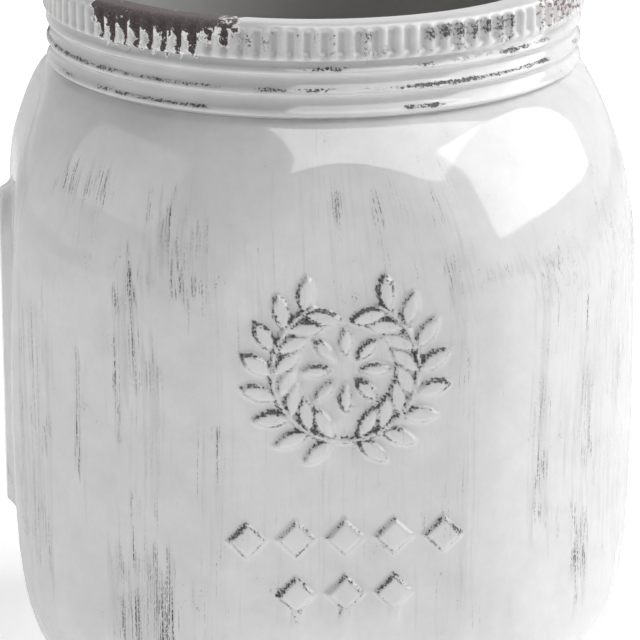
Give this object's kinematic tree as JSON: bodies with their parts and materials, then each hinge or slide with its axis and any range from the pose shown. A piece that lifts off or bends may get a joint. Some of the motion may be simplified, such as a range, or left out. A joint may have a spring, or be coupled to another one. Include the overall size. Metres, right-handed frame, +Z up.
{
  "type": "jar lantern",
  "caption": "Glazed ceramic jar lantern with a ribbed round mouth and flat-sided body, holding a battery candle that lifts out, with a turn-lock battery cover and slide switch.",
  "frame": {"origin": "middle of the base at the ground", "axes": "+Z up along the jar's axis, the decorated front panel faces -Y, +X to the right seen from the front"},
  "size_m": [0.155, 0.1502, 0.1812],
  "materials": {
    "white_glaze": "gloss",
    "grey_felt": "matte",
    "ivory_wax": "satin",
    "flame_plastic": "satin",
    "led_resin": "gloss",
    "white_plastic": "satin",
    "green_board": "satin",
    "screw_steel": "satin",
    "black_resin": "matte",
    "resistor_lacquer": "gloss",
    "crystal_can": "satin",
    "black_rubber": "matte",
    "cell_sleeve": "gloss",
    "nickel_plate": "satin",
    "red_wire": "satin",
    "black_wire": "satin",
    "switch_steel": "satin",
    "grey_plastic": "satin"
  },
  "bodies": {
    "jar": {"ceramic_jar": "white_glaze", "felt_pads": "grey_felt"},
    "candle": {"candle_shell": "ivory_wax", "flame_lens": "flame_plastic", "led_lamp": "led_resin", "lamp_holder": "white_plastic", "circuit_board": "green_board", "board_screws": "screw_steel", "timer_chip": "black_resin", "resistor": "resistor_lacquer", "timer_crystal": "crystal_can", "candle_base": "white_plastic", "base_screws": "screw_steel", "candle_feet": "black_rubber", "battery_cells": "cell_sleeve", "contact_spring": "nickel_plate", "contact_button": "nickel_plate", "wire_battery": "red_wire", "wire_switched": "red_wire", "wire_return": "black_wire", "switch_body": "switch_steel"},
    "cover": {"battery_cover": "white_plastic", "contact_bridge": "nickel_plate"},
    "knob": {"switch_knob": "grey_plastic"}
  },
  "joints": [
    {"name": "candle_lift", "type": "slide", "parent": "jar", "child": "candle", "axis": [0, 0, 1], "range_m": [0, 0.19]},
    {"name": "cover_turn", "type": "hinge", "parent": "candle", "child": "cover", "pos_m": [0, 0, 0.0105], "axis": [0, 0, 1], "range_deg": [0, 25]},
    {"name": "switch_slide", "type": "slide", "parent": "candle", "child": "knob", "axis": [0, 1, 0], "range_m": [0, 0.002]}
  ]
}
